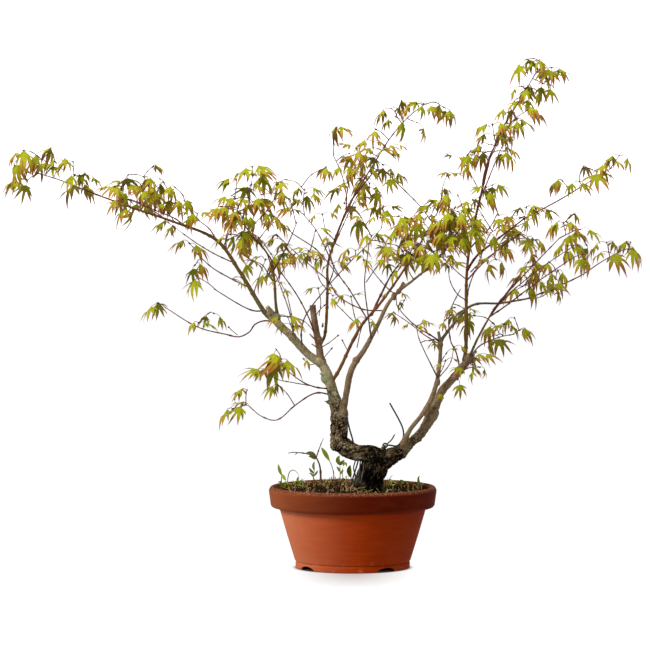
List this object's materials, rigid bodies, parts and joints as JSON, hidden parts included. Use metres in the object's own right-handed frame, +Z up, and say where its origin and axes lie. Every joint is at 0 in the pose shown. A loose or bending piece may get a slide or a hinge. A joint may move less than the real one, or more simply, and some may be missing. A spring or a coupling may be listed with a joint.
{
  "type": "japanese maple bonsai",
  "caption": "Bonsai tree with a low forked trunk, spreading bare leaders and open sprays of drooping, deeply lobed green and bronze leaves, in a round tapered clay pot filled with soil.",
  "frame": {"origin": "centre of the pot's flat underside, on the surface that the pot stands on", "axes": "+Z up; +X to the right in the front view, along the crown's long side; +Y away from the viewer of the front"},
  "size_m": [0.7665, 0.3653, 0.6092],
  "materials": {
    "terracotta": "matte fired clay",
    "soil": "rough dark grains",
    "bark_dark": "rough, nearly black",
    "bark": "rough grey-brown",
    "bark_red": "smooth red-brown",
    "wire": "satin black",
    "foliage": "soft satin"
  },
  "bodies": {
    "root": {"pot": "terracotta", "soil": "soil", "trunk": "bark_dark", "left_arm": "bark_dark", "left_leader": "bark", "right_leader": "bark", "centre_stub": "bark", "left_bough": "bark", "left_outer_bough": "bark_red", "knob_shoot": "bark_red", "centre_bough": "bark_red", "branch_b": "bark", "branch_a": "bark_red", "branch_c": "bark", "vertical_leader": "bark_red", "bough_e": "bark_red", "shoot_f": "bark_red", "upper_right_bough": "bark_red", "wire_right": "wire", "wire_left": "wire", "wire_low": "wire", "far_left_tip": "foliage", "left_cloud_front": "foliage", "left_cloud_back": "foliage", "left_fork_spray": "foliage", "left_lower_spray": "foliage", "left_low_leaf": "foliage", "curly_shoot": "foliage", "knob_left_spray": "foliage", "upper_left_back": "foliage", "knob_right_spray": "foliage", "back_left_shoot": "foliage", "middle_shoot": "foliage", "crossing_left_shoot": "foliage", "centre_top": "foliage", "centre_left_spray": "foliage", "centre_front_spray": "foliage", "centre_clump": "foliage", "hanging_shoot": "foliage", "front_shoot": "foliage", "dense_front": "foliage", "dense_back": "foliage", "right_column_front": "foliage", "right_column_back": "foliage", "right_top": "foliage", "right_inner_front": "foliage", "right_inner_back": "foliage", "upper_right_spray": "foliage", "right_middle_spray": "foliage", "low_far_right": "foliage", "fan_high": "foliage", "fan_low": "foliage", "fan_inner": "foliage", "low_right_spray": "foliage", "right_leader_spray": "foliage", "branch_c_left": "foliage", "branch_c_low": "foliage", "low_left_upper": "foliage", "low_left_lower": "foliage", "inner_right_twig": "foliage"}
  },
  "joints": []
}
